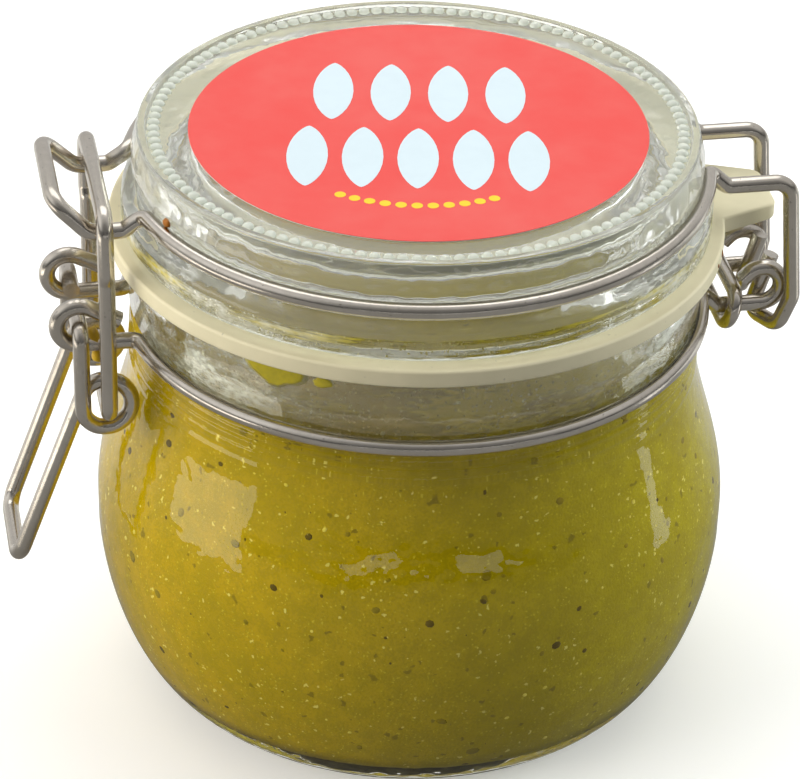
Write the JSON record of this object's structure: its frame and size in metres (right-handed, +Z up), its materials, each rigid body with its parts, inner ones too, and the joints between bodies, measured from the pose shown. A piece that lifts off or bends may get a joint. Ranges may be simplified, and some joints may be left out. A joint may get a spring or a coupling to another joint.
{
  "type": "swing-top glass jar of green chilli paste",
  "caption": "Bulbous swing-top glass jar, shut and latched, with a wire bail, a rubber gasket and a bead-rimmed glass lid, full of green chilli paste.",
  "frame": {"origin": "centre of the base, on the surface that the jar stands on", "axes": "+Z up along the jar's axis; +X towards the hinge and -X towards the closure; the wires mirror in the plane y = 0"},
  "size_m": [0.1323, 0.106, 0.102],
  "materials": {
    "glass": "clear pressed glass with a faint green tint",
    "paste": "moist olive-green chilli paste with dark and pale specks",
    "gasket": "cream natural rubber, satin",
    "label": "coral-red satin paper",
    "wire": "bright drawn steel wire, slightly worn"
  },
  "bodies": {
    "jar": {"jar_glass": "glass", "lid_glass": "glass", "paste": "paste", "gasket": "gasket", "label": "label", "lid_wire": "wire", "neck_wire_front": "wire", "neck_wire_back": "wire", "hinge_link": "wire"},
    "lever": {"lever": "wire"},
    "clamp": {"clamp": "wire"}
  },
  "joints": [
    {"name": "lever_pivot", "type": "hinge", "parent": "jar", "child": "lever", "pos_m": [-0.0564, 0, 0.0739], "axis": [0, 1, 0], "range_deg": [0, 110]},
    {"name": "clamp_pivot", "type": "hinge", "parent": "lever", "child": "clamp", "pos_m": [-0.0523, 0, 0.0598], "axis": [0, 1, 0], "range_deg": [-71.5, 0]}
  ],
  "couplings": [
    {"joint": "clamp_pivot", "follows": "lever_pivot", "ratio": -0.65}
  ]
}
